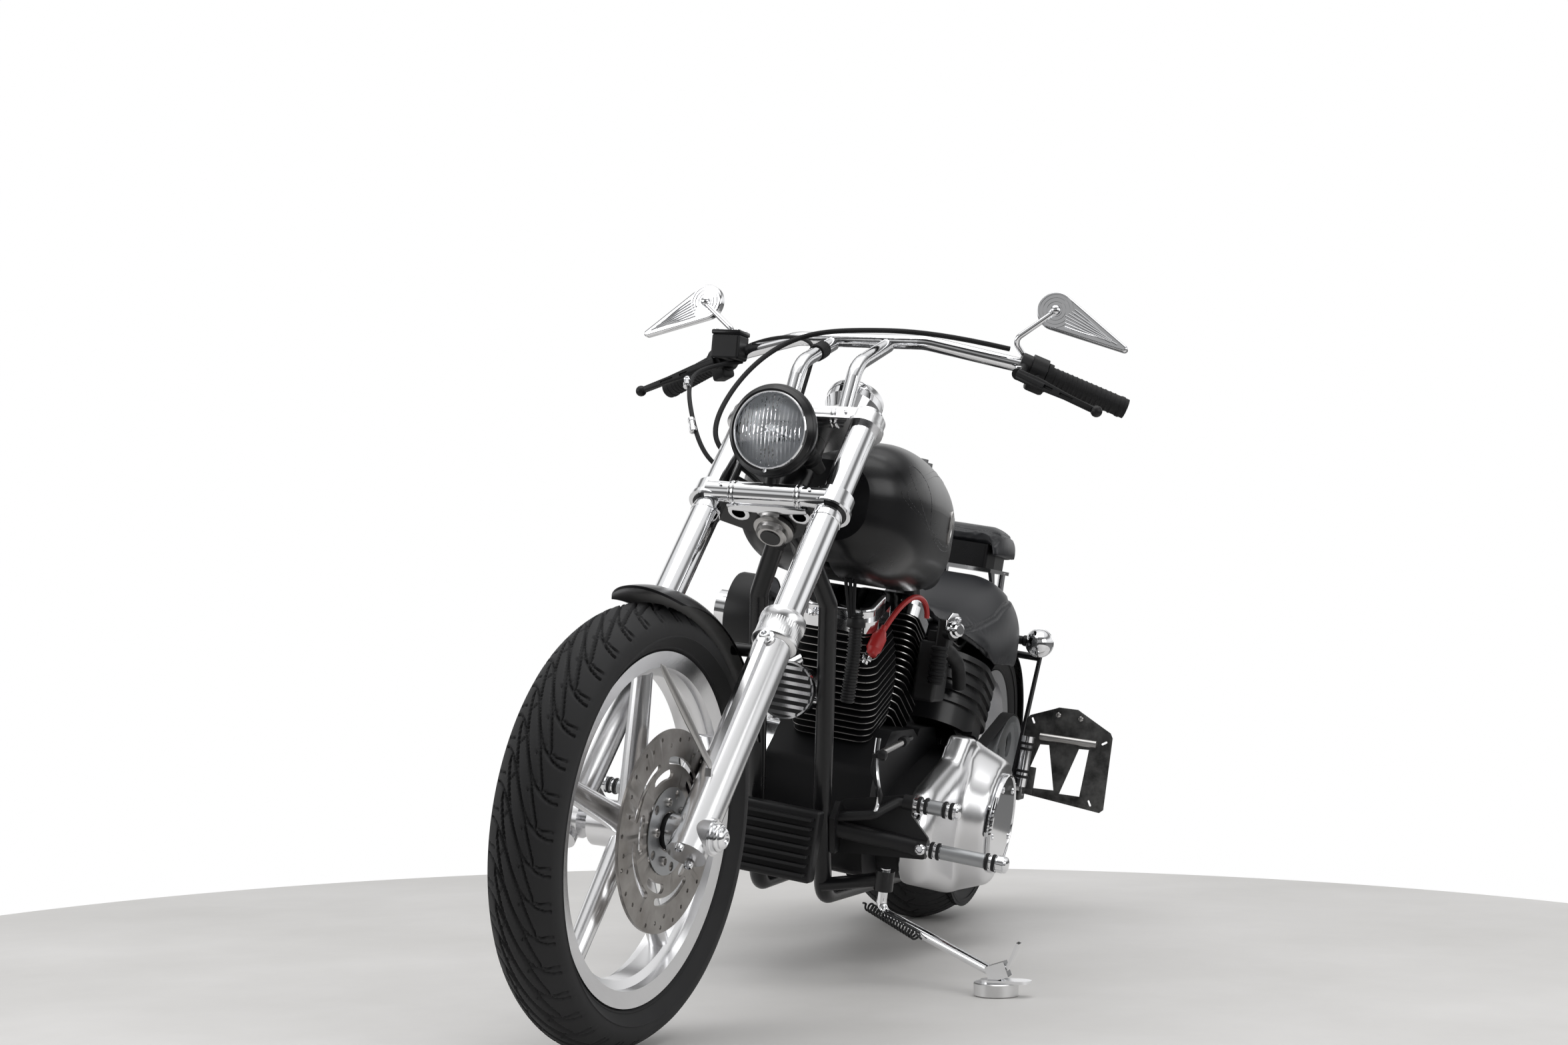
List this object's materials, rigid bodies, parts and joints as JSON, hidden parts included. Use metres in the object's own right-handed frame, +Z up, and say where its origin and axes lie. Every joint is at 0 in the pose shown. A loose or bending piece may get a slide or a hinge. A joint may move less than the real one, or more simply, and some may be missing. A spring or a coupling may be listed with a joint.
{
  "type": "chopper motorcycle",
  "caption": "Long raked V-twin chopper motorcycle parked on its side stand, with teardrop tank, wide rear tyre, drag bars and side-mounted plate holder.",
  "frame": {"origin": "floor point under the middle of the parked motorcycle's bounding box", "axes": "+X forward along the bike, +Y to the rider's left, +Z up from the floor"},
  "size_m": [2.4132, 0.9959, 1.2531],
  "materials": {
    "black_plastic": "fine texture",
    "black_rubber": "matte",
    "cast_aluminium": "fine cast, clear coated",
    "chrome_plate": "polished chrome",
    "clear_glass": "clear, fluted",
    "disc_steel": "ground",
    "gloss_black": "gloss black paint",
    "polished_aluminium": "polished",
    "satin_black": "satin black paint",
    "seat_leather": "satin grain",
    "signal_metal": "polished",
    "turned_aluminium": "turned",
    "tyre_rubber": "matte",
    "wrinkle_black": "fine wrinkle black coating"
  },
  "bodies": {
    "bike": {"frame": "gloss_black", "swingarm": "gloss_black", "rear_axle": "chrome_plate", "rear_fender": "gloss_black", "drive_belt": "black_rubber", "engine_cases": "wrinkle_black", "cylinders": "wrinkle_black", "rocker_boxes": "chrome_plate", "inner_primary": "wrinkle_black", "primary_cover": "chrome_plate", "clutch_covers": "chrome_plate", "cam_cover": "chrome_plate", "air_cleaner": "chrome_plate", "exhaust": "chrome_plate", "regulator": "satin_black", "horn": "chrome_plate", "coil_and_key_switch": "black_plastic", "oil_tank": "gloss_black", "fuel_tank": "gloss_black", "fuel_caps": "chrome_plate", "seat": "seat_leather", "passenger_seat": "seat_leather", "passenger_seat_pan": "gloss_black", "passenger_seat_bracket": "chrome_plate", "rear_turn_signals": "signal_metal", "plate_bracket": "satin_black", "foot_controls": "satin_black", "foot_pegs": "chrome_plate", "passenger_pegs": "chrome_plate", "stand_puck": "turned_aluminium"},
    "steering": {"front_axle": "chrome_plate", "fork_tubes": "chrome_plate", "fork_sliders": "polished_aluminium", "lower_triple_clamp": "gloss_black", "fork_bracket_cover": "chrome_plate", "upper_triple_clamp": "polished_aluminium", "handlebar": "chrome_plate", "grips": "black_rubber", "left_controls": "satin_black", "right_controls": "satin_black", "mirrors": "chrome_plate", "headlamp_shell": "gloss_black", "headlamp_lens": "clear_glass", "speedometer": "chrome_plate", "front_fender": "gloss_black", "front_brake_caliper": "chrome_plate", "steering_cables": "black_rubber"},
    "front_wheel_set": {"front_tyre": "tyre_rubber", "front_wheel": "polished_aluminium", "front_brake_disc": "disc_steel"},
    "rear_wheel_set": {"rear_tyre": "tyre_rubber", "rear_wheel": "polished_aluminium", "rear_pulley": "cast_aluminium", "rear_brake_disc": "disc_steel"},
    "stand": {"side_stand": "chrome_plate"}
  },
  "joints": [
    {"name": "steering_head", "type": "hinge", "parent": "bike", "child": "steering", "pos_m": [1.053, -0.165, 0.00265], "axis": [-0.5952, 0.1382, 0.7916], "range_deg": [-22.7, 37.3]},
    {"name": "front_wheel_axle", "type": "hinge", "parent": "steering", "child": "front_wheel_set", "pos_m": [0.88548, -0.11686, 0.32076], "axis": [0.1022, 0.9901, -0.096], "continuous": true},
    {"name": "rear_wheel_axle", "type": "hinge", "parent": "bike", "child": "rear_wheel_set", "pos_m": [-0.87214, -0.10919, 0.32155], "axis": [0.0001, 0.9851, -0.1719], "continuous": true},
    {"name": "side_stand_pivot", "type": "hinge", "parent": "bike", "child": "stand", "pos_m": [0.08194, 0.03864, 0.14533], "axis": [0.1396, 0.1702, 0.9755], "range_deg": [0, 90]}
  ]
}
